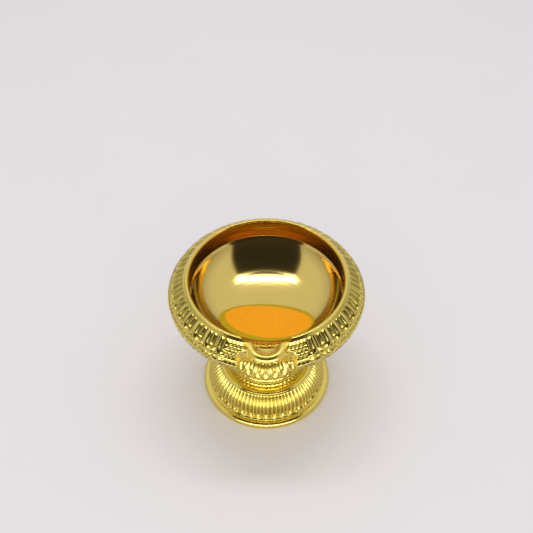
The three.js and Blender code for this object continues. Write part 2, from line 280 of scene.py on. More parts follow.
class LampColours(PropertyGroup):
    """Colours of the metal, label, washer and floor."""

    brass: colour("Brass", "Clean polished brass", "#E8D26C")
    turned: colour("Turned brass", "Freshly turned brass inside the bowl", "#E0C670")
    # The orange on the wall inside the lip is a painted reflection.
    painted_reflection: colour("Painted reflection", "Orange reflection painted on the wall inside the lip", "#E2B044")
    # Tarnish and painted shade at the bottom of the carving.
    tarnish_and_shade: colour("Tarnish and painted shade", "Tarnished brass with painted shade at the bottom of the carving", "#6A5E1E")
    label: colour("Label", "Middle of the label", "#FFAA00")
    border: colour("Label border", "Border of the label", "#C2A300")
    leather: colour("Leather", "Washer under the bowl", "#7A5232")
    thread: colour("Thread", "Machined brass of the stud", "#C9A54C")
    floor: colour("Floor", "Pale floor", "#E6E2E4")


def well_height(radius):
    """Height of the bowl's inside at a radius: nearly flat in the middle and steep at the ledge."""

    def rise(r):
        return 1 - (1 - (r / BOWL_SPREAD) ** BOWL_FULLNESS) ** (1 / BOWL_FULLNESS)

    return BOWL_FLOOR + (LEDGE_HEIGHT - BOWL_FLOOR) * rise(radius) / rise(LEDGE_RADIUS)


class Outline:
    """A section of (radius, height) points in millimetres, walked stroke by stroke."""

    TOUCHING = 0.01
    MOST_EASE = 0.45

    def __init__(self, radius, height):
        self.corners = [np.array([radius, height], float)]
        self.strokes = []

    def line(self, radius, height, step=1.0, ease=0.0, carve=None, span=(0, 1)):
        """Straight on to a point."""
        start = self.corners[-1]
        end = np.array([radius, height], float)
        return self._stroke(lambda t: start + (end - start) * t[:, None], end, step, ease, carve, span)

    def curve(
        self, bend_radius, bend_height, radius, height, step=1.0, ease=0.0, carve=None, span=(0, 1)
    ):
        """On to a point in one bend, drawn towards the bend's own point."""
        start = self.corners[-1]
        bend = np.array([bend_radius, bend_height], float)
        end = np.array([radius, height], float)

        def at(t):
            t = t[:, None]
            return start * (1 - t) ** 2 + 2 * bend * t * (1 - t) + end * t**2

        return self._stroke(at, end, step, ease, carve, span)

    def well(self, step=1.0, ease=0.0, carve=None):
        """Down the round of the bowl, from the ledge to the middle of its floor."""

        def at(t):
            radius = LEDGE_RADIUS * (1 - t)
            return np.stack([radius, well_height(radius)], 1)

        return self._stroke(at, at(np.array([1.0]))[0], step, ease, carve, (0, 1))

    def _stroke(self, at, end, step, ease, carve, span):
        """step is the distance between points, and ease rounds the corner at the stroke's start."""
        self.strokes.append((at, step, ease, carve, span))
        self.corners.append(end)
        return self

    def rows(self, closed=False):
        """The points, the carving that each holds and how far along its carving it lies."""
        points, carves, shares = [], [], []

        def put(found, carve, share):
            for point, s in zip(found, share):
                if not points or np.hypot(*(point - points[-1])) > self.TOUCHING:
                    points.append(point)
                    carves.append(carve)
                    shares.append(s)

        count = len(self.strokes)
        for k, (at, step, ease, carve, span) in enumerate(self.strokes):
            dense = at(np.linspace(0, 1, 33))
            size = np.hypot(*np.diff(dense, axis=0).T).sum()
            following = self.strokes[(k + 1) % count][2] if closed or k + 1 < count else 0
            low = min(ease / size, self.MOST_EASE)
            high = 1 - min(following / size, self.MOST_EASE)
            if ease and points:
                arrive = at(np.array([low]))[0]
                t = np.linspace(0, 1, 6)[1:-1, None]
                corner = self.corners[k]
                leave = points[-1]
                put(leave * (1 - t) ** 2 + 2 * corner * t * (1 - t) + arrive * t**2, None, [0] * 4)
            t = np.linspace(low, high, max(2, round(size * (high - low) / step) + 1))
            put(at(t), carve, span[0] + (span[1] - span[0]) * t)
        if closed and np.hypot(*(points[0] - points[-1])) < 2 * self.TOUCHING:
            for each in (points, carves, shares):
                each.pop()
        return np.array(points), carves, np.array(shares)


def smooth(low, high, x):
    """0 below low, 1 above high, and an even rise between."""
    t = np.clip((x - low) / (high - low), 0, 1)
    return t * t * (3 - 2 * t)


def ridge(x, width):
    """1 at x = 0, falling away on both sides."""
    return np.exp(-((x / width) ** 2))


def across(angle, count, shift=0.5):
    """-1 to 1 across each of count repeats round the lamp, set out a little unevenly, as by hand."""
    uneven = 0.09 * np.sin(5 * angle + 0.4) + 0.06 * np.sin(13 * angle + 2.1)
    turn = angle * count / TAU + shift + uneven
    return 2 * (turn - np.floor(turn)) - 1


def petal_cut(share, angle, count, tongue=0.75):
    """U-shaped petals, open at share 1 and round at share 0: how much is cut away, from 0 to 1."""
    square = 2.6
    side = across(angle, count)
    along = 1 - share
    rim = (np.abs(side) ** square + np.clip((along - 0.5) / 0.48, 0, None) ** square) ** (1 / square)
    wave = 0.5 + 0.5 * np.cos(TAU * np.clip(rim, 0, 1.25) / 0.82)
    raised = np.where(rim < 0.41, tongue * wave, wave)
    bead = ridge(np.hypot((np.abs(side) - 1) * 1.1, (along - 0.93) * 3), 0.28)
    cut = 1 - np.clip(np.maximum(raised, 0.85 * bead), 0, 1)
    return cut * smooth(0, 0.05, share) * smooth(0, 0.09, 1 - share)


def flute_cut(share, angle, count):
    """Pairs of ridges joined by a U at share 0: how much is cut away, from 0 to 1."""
    side = across(angle, count)
    bend = np.clip((0.2 - share) / 0.2, 0, None)
    rim = (side**2 + bend**2) ** 0.5
    ends = smooth(0, 0.04, share) * smooth(0, 0.06, 1 - share)
    return (0.5 + 0.5 * np.cos(TAU * np.clip(rim, 0, 1))) * ends


def leaf_cut(share, angle, count):
    """Pointed leaves with a midrib and slanting veins, hanging from share 1 to tips at share 0."""
    side = across(angle, count, 0.0)
    half = np.clip(share * 1.02, 0, 1) ** 0.55 * 0.96 + 0.001
    rim = np.abs(side) / half
    veins = 0.5 + 0.5 * np.cos(TAU * (4.5 * share + 1.3 * np.abs(side)))
    inside = smooth(1.02, 0.9, rim)
    raised = np.maximum(ridge(rim - 0.86, 0.13), inside * (0.25 + 0.5 * veins))
    raised = np.maximum(raised, inside * ridge(side, 0.12))
    tips = ridge(np.hypot((np.abs(side) - 1) * 1.3, (share - 0.28) * 2.2), 0.4)
    return (1 - np.clip(np.maximum(raised, 0.75 * tips), 0, 1)) * smooth(0, 0.06, share)


def stipple_cut(share, angle, size, radius, height):
    """Rows of punched dots, each row half a dot along from the last."""
    row = share * height / size * 1.15
    shift = 0.5 * (np.floor(row) % 2)
    u = 2 * np.mod(angle * radius / size + shift, 1) - 1
    v = 2 * np.mod(row, 1) - 1
    return (1 - ridge(np.hypot(u, v), 0.62)) * smooth(0, 0.05, share)


def bead_cut(share, angle, count):
    """A row of round beads."""
    side = across(angle, count)
    return 1 - np.sqrt(np.clip(1 - np.abs(side) ** 2 * 0.95 - (2 * share - 1) ** 2 * 0.9, 0, 1))


def turned(name, outline, rays, carvings=None, closed=False):
    """An object turned from a section about the lamp's axis.

    Each carving takes the share along its strokes, the angle and the height, and gives how deep it cuts
    in from the surface, in millimetres, and how much tarnish and painted shade that leaves on the
    metal, from 0 to 1.
    """
    points, carves, shares = outline.rows(closed)
    before, after = np.roll(points, 1, 0), np.roll(points, -1, 0)
    if not closed:
        before[0], after[-1] = points[0], points[-1]
    along = after - before
    along /= np.hypot(*along.T)[:, None]
    outward = np.stack([along[:, 1], -along[:, 0]], 1)
    angle = TAU * np.arange(rays) / rays
    depth = np.zeros((len(points), rays))
    tarnish_and_shade = np.zeros_like(depth)
    for kind, cut in (carvings or {}).items():
        held = np.array([c == kind for c in carves])
        if held.any():
            depth[held], tarnish_and_shade[held] = cut(shares[held, None], angle[None, :], points[held, 1, None])
    radius = points[:, 0, None] - depth * outward[:, 0, None]
    height = points[:, 1, None] - depth * outward[:, 1, None]
    places = np.stack([radius * np.sin(angle), -radius * np.cos(angle), height + 0 * angle], 2) * MM
    on_axis = points[:, 0] < 1e-6
    ids, vertices, dull_and_shade = [], [], []
    for k in range(len(points)):
        used = 1 if on_axis[k] else rays
        ids.append(len(vertices) + np.arange(used) if used > 1 else np.full(rays, len(vertices)))
        vertices.extend(places[k, :used])
        dull_and_shade.extend(tarnish_and_shade[k, :used])
    faces = []
    last = len(points) if closed else len(points) - 1
    for k in range(last):
        low, high = ids[k], ids[(k + 1) % len(points)]
        low_next, high_next = np.roll(low, -1), np.roll(high, -1)
        if on_axis[k]:
            faces.extend(np.stack([low, high_next, high], 1).tolist())
        elif on_axis[(k + 1) % len(points)]:
            faces.extend(np.stack([low, low_next, high], 1).tolist())
        else:
            faces.extend(np.stack([low, low_next, high_next, high], 1).tolist())
    return mesh_object(name, np.array(vertices), faces, dull_and_shade)


def mesh_object(name, vertices, faces, dull_and_shade=None):
    """A named object from its points, in metres, and its faces."""
    mesh = bpy.data.meshes.new(name)
    mesh.from_pydata(vertices, [], faces)
    if dull_and_shade is not None:
        # How much tarnish and painted shade each point gets from its carving.
        tarnish_and_shade = mesh.attributes.new("tarnish_and_shade", "FLOAT", "POINT")
        tarnish_and_shade.data.foreach_set("value", np.array(dull_and_shade, np.float32))
    obj = bpy.data.objects.new(name, mesh)
    bpy.context.scene.collection.objects.link(obj)
    tidy(obj)
    return obj


def tidy(obj):
    """Faces outwards and shaded smooth."""
    shape = bmesh.new()
    shape.from_mesh(obj.data)
    bmesh.ops.recalc_face_normals(shape, faces=shape.faces)
    for face in shape.faces:
        face.smooth = True
    shape.to_mesh(obj.data)
    shape.free()


def lofted(name, loops):
    """A closed solid through loops of equally many points, in millimetres."""
    count = len(loops[0])
    last = (len(loops) - 1) * count
    faces = [list(range(count))[::-1], list(range(last, last + count))]
    for ring in range(len(loops) - 1):
        for k in range(count):
            a, b = ring * count + k, ring * count + (k + 1) % count
            faces.append([a, b, b + count, a + count])
    return mesh_object(name, np.concatenate(loops) * MM, faces)


def with_modifiers(obj, *steps):
    """Adds each (kind, settings) and makes its result the object's own mesh."""
    for kind, settings in steps:
        added = obj.modifiers.new(kind.title(), kind)
        for key, value in settings.items():
            setattr(added, key, value)
    bpy.context.view_layer.update()
    graph = bpy.context.evaluated_depsgraph_get()
    made = bpy.data.meshes.new_from_object(
        obj.evaluated_get(graph), preserve_all_data_layers=True, depsgraph=graph
    )
    made.name = obj.name
    obj.modifiers.clear()
    obj.data = made
    tidy(obj)
    return obj


def cut_by(obj, *cutters):
    """Cuts each of the cutters away, and removes it."""
    for cutter in cutters:
        settings = {"operation": "DIFFERENCE", "solver": "MANIFOLD", "object": cutter}
        with_modifiers(obj, ("BOOLEAN", settings))
        bpy.data.objects.remove(cutter)
    return obj


def scoop_plan(half, nose, centre):
    """A scoop's outline seen from above: straight cheeks drawn in to a round nose."""
    ahead = centre - SPOUT_ROOT
    sweep = math.atan2(ahead, half) + math.asin(nose / math.hypot(half, ahead))
    arc = np.linspace(-sweep, sweep, 33)
    front = [(nose * math.sin(a), -centre - nose * math.cos(a)) for a in arc]
    left = [(-half, -SPOUT_TAIL), (-half, -SPOUT_ROOT)]
    right = [(half, -SPOUT_ROOT), (half, -SPOUT_TAIL)]
    return np.array([*left, *front, *right])


def level(plan, height):
    """An outline seen from above, set at a height or at one height for each point."""
    return np.column_stack([plan, np.broadcast_to(height, len(plan))])


def spout_level(height, grow):
    """The spout's outline at a height, grown all round."""
    centre = SPOUT_REACH - SPOUT_NOSE_RADIUS
    return level(scoop_plan(SPOUT_HALF_WIDTH + grow, SPOUT_NOSE_RADIUS + grow, centre), height)


def channel_level(height, grow):
    """The wick channel's outline at a height, grown all round."""
    plan = scoop_plan(CHANNEL_HALF_WIDTH + grow, CHANNEL_NOSE_RADIUS + grow, CHANNEL_CENTRE)
    return level(plan, height)


def relief_tool():
    """What cuts the carved shoulder back to a plain hollow beside and under the spout."""
    loops = []
    half = RELIEF_HALF_WIDTH
    turn = np.linspace(0, math.pi / 2, 9)
    for drop, face in RELIEF_FACE:
        x = half - RELIEF_ROUND * (1 - np.cos(turn))
        y = -face - RELIEF_ROUND * (1 - np.sin(turn))
        right = np.column_stack([x, y])
        left = right[::-1] * (-1, 1)
        plan = np.vstack([(half, -RELIEF_REACH), right, left, (-half, -RELIEF_REACH)])
        loops.append(level(plan, below_rim(drop)))
    return lofted("relief_tool", loops)


def sizes():
    """The sizes that a user may change."""
    return bpy.context.scene.lamp_sizes


def colours():
    """The colours that a user may change."""
    return bpy.context.scene.lamp_colours


def per_metre(millimetres):
    """A texture's scale for one repeat in so many millimetres."""
    return 1 / (millimetres * MM)


def add(tree, kind, inputs=None, **settings):
    """Adds a node; an input is a value, a socket, or a node whose first output is used."""
    made = tree.nodes.new(kind)
    for key, value in settings.items():
        setattr(made, key, value)
    for key, value in (inputs or {}).items():
        if isinstance(value, bpy.types.Node):
            value = value.outputs[0]
        if isinstance(value, bpy.types.NodeSocket):
            tree.links.new(value, made.inputs[key])
        else:
            made.inputs[key].default_value = value
    return made


def material(name, build):
    """A material by name, built once."""
    found = bpy.data.materials.get(name)
    if found is None:
        found = bpy.data.materials.new(name)
        found.use_nodes = True
        found.node_tree.nodes.clear()
        surface = build(found.node_tree)
        add(found.node_tree, "ShaderNodeOutputMaterial", {"Surface": surface})
    return found


def opaque(rgb):
    """A colour with full alpha."""
    return (*rgb, 1)


def brass(tree, tint, rough, bump):
    """The surface that every brass shares: bare metal with its own tint, gloss and relief."""
    return add(
        tree,
        "ShaderNodeBsdfPrincipled",
        {"Base Color": tint, "Metallic": 1.0, "Roughness": rough, "Normal": bump},
    )


def cast_brass(tree):
    """Cast brass, chased and buffed: bright on the raised edges, greener and rougher in the cuts from
    tarnish, and darker there from painted shade.
    """
    place = add(tree, "ShaderNodeTexCoord").outputs["Object"]
    tarnish_and_shade = add(tree, "ShaderNodeAttribute", attribute_name="tarnish_and_shade").outputs["Fac"]
    # The buffing wheel reaches the cuts unevenly, in patches of about 6 mm, and the painted shade in
    # the cuts follows the same patches.
    patches = add(tree, "ShaderNodeTexNoise", {"Vector": place, "Scale": per_metre(6), "Detail": 3})
    reached = add(tree, "ShaderNodeMapRange", {"Value": patches, "To Min": 0.4, "To Max": 1.1})
    # The cuts get tarnish and painted shade, more the deeper they are.
    deepest = add(tree, "ShaderNodeMath", {0: tarnish_and_shade, 1: 1.6}, operation="POWER")
    dulled_and_shaded = add(tree, "ShaderNodeMath", {0: deepest, 1: reached}, operation="MULTIPLY")
    ends = {0: dulled_and_shaded, 6: opaque(colours().brass), 7: opaque(colours().tarnish_and_shade)}
    tint = add(tree, "ShaderNodeMix", ends, data_type="RGBA").outputs[2]
    gloss = {"Value": dulled_and_shaded, "From Min": 0, "From Max": 0.6, "To Min": 0.17, "To Max": 0.34}
    rough = add(tree, "ShaderNodeMapRange", gloss)
    # The sand's grain is about 0.2 mm, and is drawn at 0.7 mm so that it shows.
    grain = add(tree, "ShaderNodeTexNoise", {"Vector": place, "Scale": per_metre(0.7), "Detail": 3})
    bump = add(tree, "ShaderNodeBump", {"Height": grain, "Strength": 0.35, "Distance": 0.12 * MM})
    return brass(tree, tint, rough, bump)


def ringed(tree, spacing, distance, strength):
    """Fine rings about the lamp's axis, as a turning tool leaves them."""
    place = add(tree, "ShaderNodeTexCoord").outputs["Object"]
    apart = add(tree, "ShaderNodeSeparateXYZ", {0: place})
    flat = add(tree, "ShaderNodeCombineXYZ", {"X": apart.outputs["X"], "Y": apart.outputs["Y"]})
    radius = add(tree, "ShaderNodeVectorMath", {0: flat}, operation="LENGTH").outputs["Value"]
    rings = add(tree, "ShaderNodeCombineXYZ", {"X": radius, "Y": apart.outputs["Z"]})
    found = {"Vector": rings, "Scale": per_metre(spacing), "Detail": 3}
    marks = add(tree, "ShaderNodeTexNoise", found)
    relief = {"Height": marks, "Strength": strength, "Distance": distance * MM}
    return marks, add(tree, "ShaderNodeBump", relief)


def turned_brass(tree):
    """Turned brass: mirror bright with fine rings, with an orange reflection painted on the wall inside
    the lip, where it is also more satin.
    """
    # The tool moves about 0.2 mm a turn, and its marks are drawn at 0.5 mm so that they show.
    marks, bump = ringed(tree, 0.5, 0.03, 0.6)
    place = add(tree, "ShaderNodeTexCoord").outputs["Object"]
    height = add(tree, "ShaderNodeSeparateXYZ", {0: place}).outputs["Z"]
    # Above the wall's foot an orange reflection is painted on the turned brass.
    edges = {"Value": height, "From Min": PAINTED_REFLECTION_START * MM, "From Max": PAINTED_REFLECTION_FULL * MM}
    painted_reflection = add(tree, "ShaderNodeMapRange", edges)
    ends = {0: painted_reflection, 6: opaque(colours().turned), 7: opaque(colours().painted_reflection)}
    tint = add(tree, "ShaderNodeMix", ends, data_type="RGBA").outputs[2]
    satin = add(tree, "ShaderNodeMapRange", {"Value": painted_reflection, "To Min": 0.17, "To Max": 0.34})
    gloss = {"Value": marks, "From Min": 0.3, "From Max": 0.7, "To Min": 0.08, "To Max": satin}
    rough = add(tree, "ShaderNodeMapRange", gloss)
    return brass(tree, tint, rough, bump)


def polished_brass(tree):
    """Cast brass, filed and polished: soft reflections with faint handling haze."""
    place = add(tree, "ShaderNodeTexCoord").outputs["Object"]
    # Haze lies in smears of about 2.5 mm, and the file leaves waves about 1.6 mm apart.
    haze = add(tree, "ShaderNodeTexNoise", {"Vector": place, "Scale": per_metre(2.5), "Detail": 3})
    gloss = {"Value": haze, "From Min": 0.3, "From Max": 0.7, "To Min": 0.22, "To Max": 0.34}
    rough = add(tree, "ShaderNodeMapRange", gloss)
    waves = add(tree, "ShaderNodeTexNoise", {"Vector": place, "Scale": per_metre(1.6), "Detail": 1})
    bump = add(tree, "ShaderNodeBump", {"Height": waves, "Strength": 0.25, "Distance": 0.03 * MM})
    return brass(tree, opaque(colours().brass), rough, bump)


def threaded_brass(tree):
    """Machined brass rod with a cut thread: darker and less bright than the polished faces."""
    _, bump = ringed(tree, 0.2, 0.01, 0.3)
    return brass(tree, opaque(colours().thread), 0.3, bump)


def printed_foil(rgb):
    """Printed foil paper: an even, saturated colour with a low satin gloss and slight crinkles."""

    def build(tree):
        place = add(tree, "ShaderNodeTexCoord").outputs["Object"]
        # Paper fibres are about 0.1 mm wide, and are drawn at 1.2 mm so that they show.
        fine = {"Vector": place, "Scale": per_metre(1.2), "Detail": 3}
        fibres = add(tree, "ShaderNodeTexNoise", fine)
        shade = add(tree, "ShaderNodeMapRange", {"Value": fibres, "To Min": 0.9, "To Max": 1.08})
        tone = add(tree, "ShaderNodeHueSaturation", {"Color": opaque(rgb), "Value": shade})
        # The foil was pressed on by hand, and crinkles about every 5 mm.
        creases = add(tree, "ShaderNodeTexNoise", {"Vector": place, "Scale": per_metre(5), "Detail": 2})
        bump = add(tree, "ShaderNodeBump", {"Height": creases, "Strength": 0.3, "Distance": 0.1 * MM})
        return add(
            tree,
            "ShaderNodeBsdfPrincipled",
            {"Base Color": tone, "Roughness": 0.6, "Specular IOR Level": 0.25, "Normal": bump},
        )

    return build


def washer_leather(tree):
    """Vegetable-tanned leather, stamped: brown and dull, with a fine pebbled grain."""
    place = add(tree, "ShaderNodeTexCoord").outputs["Object"]
    # A pebble of cowhide's grain is about 0.6 mm across.
    grain = add(tree, "ShaderNodeTexVoronoi", {"Vector": place, "Scale": per_metre(0.6)})
    shade = add(tree, "ShaderNodeMapRange", {"Value": grain, "To Min": 1.1, "To Max": 0.75})
    tone = add(tree, "ShaderNodeHueSaturation", {"Color": opaque(colours().leather), "Value": shade})
    bump = add(tree, "ShaderNodeBump", {"Height": grain, "Strength": 0.5, "Distance": 0.08 * MM})
    return add(
        tree,
        "ShaderNodeBsdfPrincipled",
        {"Base Color": tone, "Roughness": 0.75, "IOR": 1.5, "Normal": bump},
    )


def hand_over(obj, body, node, slot, *materials):
    """Gives a finished piece its materials and its body, and hides the frame node that it stands for.
    The slot is not used.
    """
    obj.data.materials.clear()
    for found in materials:
        obj.data.materials.append(found)
    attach(obj, body)
    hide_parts(node)


def faces_inside_bowl(mesh):
    """True for each face of the turned inside: the lip's inner side, the wall, ledge and well."""
    count = len(mesh.polygons)
    centre = np.zeros(count * 3)
    normal = np.zeros(count * 3)
    mesh.polygons.foreach_get("center", centre)
    mesh.polygons.foreach_get("normal", normal)
    centre = centre.reshape(-1, 3) / MM
    normal = normal.reshape(-1, 3)
    radius = np.hypot(centre[:, 0], centre[:, 1])
    inward = -(centre[:, :2] * normal[:, :2]).sum(1) / np.maximum(radius, 1e-6)
    above = centre[:, 2] > BOWL_FLOOR - 0.5
    facing = (inward > 0.2) | (normal[:, 2] > 0.2)
    return above & (radius < MOUTH_RADIUS + 0.45) & facing


class LAMP_OT_bowl(Operator):
    """Turns and carves the oil bowl"""

    bl_idname = "lamp.bowl"
    bl_label = "Oil bowl"

    def execute(self, context):
        size = sizes()
        marks = np.random.default_rng(seed=7)

        def beside_spout(angle):
            off = np.minimum(angle, TAU - angle)
            return smooth(*GROUND_FADE, off)

        def petals(share, angle, height):
            cut = petal_cut(share, angle, size.petals, tongue=0.9)
            dots = stipple_cut(share, angle, size.stipple / MM, *PETAL_BAND)
            dots *= smooth(0, 0.1, 1 - share)
            punched = beside_spout(angle)
            cut = cut * (1 - punched) + dots * punched
            return cut * size.petal_depth / MM, cut

        def leaves(share, angle, height):
            cut = leaf_cut(share, angle, size.petals)
            dots = stipple_cut(share, angle, size.stipple / MM, *LEAF_BAND)
            punched = beside_spout(angle)
            cut = cut * (1 - punched) + dots * punched
            return cut * size.leaf_depth / MM, cut

        def tool_marks(share, angle, height):
            row = marks.normal(0, 1, (len(share), 1)) * size.turning / MM
            return row + 0 * angle, 0 * row + 0 * angle

        lip = LAMP_HEIGHT - EDGE_ROUND
        flange = BOSS_BOTTOM + BOSS_FLANGE
        outline = (
            Outline(0, STUD_HOLE_ROOF)
            .line(STUD_HOLE, STUD_HOLE_ROOF, step=1.5)
            .line(STUD_HOLE, BOSS_BOTTOM, step=1.5)
            .line(BOSS_RADIUS, BOSS_BOTTOM, step=1.5, ease=0.2)
            .line(BOSS_RADIUS, flange, step=0.4, ease=0.3)
            .line(NECK_RADIUS, flange + EDGE_ROUND, step=0.6, ease=0.3)
            .line(NECK_RADIUS, BOWL_UNDERSIDE, step=1.0, ease=0.4)
            .curve(SHELL_BEND_RADIUS, BOWL_UNDERSIDE, *SHELL_EDGE, step=1.4, ease=1.4)
            .line(*SHELL_STEP, step=0.5, ease=0.6)
            .curve(*SHOULDER_BEND, *SHOULDER_WIDEST, 0.28, 0.3, "leaves", (0, 0.8))
            .line(*SHOULDER_TOP, 0.26, 0.3, "leaves", (0.8, 1))
            .curve(*PETAL_BEND, *PETAL_TOP, 0.28, 0.25, "petals")
            .line(LIP_RADIUS, lip, step=0.2, ease=0.1)
            .line(LIP_RADIUS - EDGE_ROUND, LAMP_HEIGHT, step=0.2, ease=0.15)
            .line(MOUTH_RADIUS + EDGE_ROUND, LAMP_HEIGHT, step=0.35, ease=0.15)
            .line(MOUTH_RADIUS, lip, step=0.2, ease=0.15)
            .line(MOUTH_RADIUS + WALL_FLARE, WALL_FOOT, 0.6, 0.1, "tool_marks")
            .line(LEDGE_RADIUS, LEDGE_HEIGHT, step=0.35, ease=0.2)
            .well(0.7, 0.25, "tool_marks")
        )
        carvings = {"petals": petals, "leaves": leaves, "tool_marks": tool_marks}
        bowl = turned("oil_bowl_brass", outline, BOWL_RAYS, carvings)
        levels = [spout_level(SPOUT_BOTTOM + rise, NOTCH_GAP - inset) for rise, inset in SPOUT_HULL]
        levels[0][:, 2] -= NOTCH_GAP
        levels.append(spout_level(LAMP_HEIGHT + CUTTER_OVERRUN, NOTCH_GAP))
        cut_by(bowl, relief_tool(), lofted("notch_tool", levels))
        hand_over(
            bowl,
            "bowl",
            "oil_bowl",
            "cast_brass",
            material("cast_brass_chased", cast_brass),
            material("turned_brass_bright", turned_brass),
        )
        inside = faces_inside_bowl(bowl.data).astype(np.int32)
        bowl.data.polygons.foreach_set("material_index", inside)
        return {"FINISHED"}


class LAMP_OT_spout(Operator):
    """Shapes the wick spout as a small boat-like scoop with a rounded lip and a shallow channel"""

    bl_idname = "lamp.spout"
    bl_label = "Wick spout"

    def execute(self, context):
        hull = [
            spout_level(SPOUT_BOTTOM + rise, -inset) for rise, inset in SPOUT_HULL + SPOUT_LIP
        ]
        spout = lofted("wick_spout_brass", hull)
        hollow = [channel_level(SPOUT_TOP - drop, -inset) for drop, inset in CHANNEL_HOLLOW]
        above = LAMP_HEIGHT + CUTTER_OVERRUN
        mouth = (
            Outline(0, WALL_FOOT - 1)
            .line(MOUTH_RADIUS + WALL_FLARE, WALL_FOOT - 1, step=5)
            .line(MOUTH_RADIUS + WALL_FLARE, WALL_FOOT, step=5)
            .line(MOUTH_RADIUS, above, step=5)
            .line(0, above, step=5)
        )
        cut_by(spout, lofted("channel_tool", hollow), turned("mouth_tool", mouth, CUTTER_RAYS))
        with_modifiers(
            spout,
            ("REMESH", {"mode": "VOXEL", "voxel_size": SPOUT_VOXEL * MM}),
            ("SMOOTH", {"factor": 0.5, "iterations": 10}),
        )
        finish = material("polished_brass_cast", polished_brass)
        hand_over(spout, "bowl", "wick_spout", "polished_brass", finish)
        return {"FINISHED"}


def oval(angle, half_length, half_width, turn):
    """Points of an oval round the origin, turned in its plane."""
    x, y = half_length * np.cos(angle), half_width * np.sin(angle)
    cosine, sine = math.cos(turn), math.sin(turn)
    return np.column_stack([x * cosine - y * sine, x * sine + y * cosine])


class LAMP_OT_label(Operator):
    """Lays the blank oval label on the bowl's floor"""

    bl_idname = "lamp.label"
    bl_label = "Label"

    def execute(self, context):
        border = sizes().label_border / MM
        rounds = 96
        angle = TAU * np.arange(rounds) / rounds
        outer = oval(angle, LABEL_HALF_LENGTH, LABEL_HALF_WIDTH, LABEL_TURN)
        turn = LABEL_TURN + MIDDLE_TURN
        inner = oval(angle, LABEL_HALF_LENGTH - border, LABEL_HALF_WIDTH - border, turn)
        inner += MIDDLE_SHIFT
        # Each ring is (points, share of the label's thickness), from the middle outwards.
        middle = [
            (MIDDLE_SHIFT + (inner - MIDDLE_SHIFT) * t, 1.0) for t in np.linspace(0.06, 0.97, 16)
        ]
        middle += [(inner + (outer - inner) * t, 1.15) for t in (0.04, 0.12)]
        edging = [(inner + (outer - inner) * t, 0.85) for t in (0.22, 0.4, 0.6, 0.8, 0.93)]
        face = [*middle, *edging, (outer, 0.5)]
        rings = face + [(flat, 0.0) for flat, _ in reversed(face)]
        vertices, faces = [], []
        for flat, lift in rings:
            placed = flat - (0, LABEL_FORWARD)
            height = well_height(np.hypot(*placed.T))
            creases = np.sin(placed[:, 0] * 1.1 + 0.6) * np.cos(placed[:, 1] * 1.7)
            raised = LABEL_THICKNESS * lift + LABEL_CREASE * creases * (lift > 0)
            vertices.extend(level(placed, height + LABEL_GAP + raised))
        for ring in range(len(rings) - 1):
            for k in range(rounds):
                a, b = ring * rounds + k, ring * rounds + (k + 1) % rounds
                faces.append([a, b, b + rounds, a + rounds])
        faces.append(list(range(rounds))[::-1])
        faces.append([(len(rings) - 1) * rounds + k for k in range(rounds)])
        label = mesh_object("bowl_label_foil", np.array(vertices) * MM, faces)
        hand_over(
            label,
            "bowl",
            "bowl_label",
            "label_paper",
            material("printed_foil_middle", printed_foil(colours().label)),
            material("printed_foil_border", printed_foil(colours().border)),
        )
        index = np.zeros(len(faces), np.int32)
        index[(len(middle) - 1) * rounds : len(face) * rounds] = 1
        label.data.polygons.foreach_set("material_index", index)
        return {"FINISHED"}


def thread_cut(share, angle, height):
    """A helical thread, as depth in millimetres and as a share of it."""
    size = sizes()
    phase = np.mod(height / (size.thread_pitch / MM) - angle / TAU, 1)
    cut = np.clip(1.25 * (1 - np.abs(2 * phase - 1)) - 0.1, 0, 1)
    return cut * size.thread_depth / MM, 0.5 * cut


class LAMP_OT_stud(Operator):
    """Cuts the threaded stud under the bowl"""

    bl_idname = "lamp.stud"
    bl_label = "Bowl stud"

    def execute(self, context):
        lead_in, bevel = 0.6, 0.3
        outline = (
            Outline(0, STUD_BOTTOM)
            .line(STUD_RADIUS - lead_in, STUD_BOTTOM, step=0.8)
            .line(STUD_RADIUS, STUD_BOTTOM + lead_in, 0.12, 0, "thread")
            .line(STUD_RADIUS, STUD_TOP - bevel, 0.12, 0, "thread")
            .line(STUD_RADIUS - bevel, STUD_TOP, step=0.2)
            .line(0, STUD_TOP, step=0.8)
        )
        stud = turned("bowl_stud_brass", outline, STUD_RAYS, {"thread": thread_cut})
        finish = material("machined_brass_thread", threaded_brass)
        hand_over(stud, "bowl", "bowl_stud", "threaded_brass", finish)
        return {"FINISHED"}


class LAMP_OT_washer(Operator):
    """Stamps the leather washer between the bowl and the knop"""

    bl_idname = "lamp.washer"
    bl_label = "Seat washer"

    def execute(self, context):
        ease = 0.18
        outline = (
            Outline(STUD_BORE, WASHER_BOTTOM)
            .line(WASHER_RADIUS, WASHER_BOTTOM, 0.5, ease)
            .line(WASHER_RADIUS, WASHER_TOP, 0.15, ease, "edge")
            .line(STUD_BORE, WASHER_TOP, 0.5, ease)
            .line(STUD_BORE, WASHER_BOTTOM, 0.15, ease)
        )

        def edge(share, angle, height):
            wander = 0.03 + 0.015 * np.sin(5 * angle + 0.7) + 0.012 * np.sin(11 * angle)
            return wander + 0 * share, 0 * wander + 0 * share

        carvings = {"edge": edge}
        washer = turned("seat_washer_leather", outline, WASHER_RAYS, carvings, closed=True)
        finish = material("leather_stamped", washer_leather)
        hand_over(washer, "washer", "seat_washer", "washer_leather", finish)
        return {"FINISHED"}


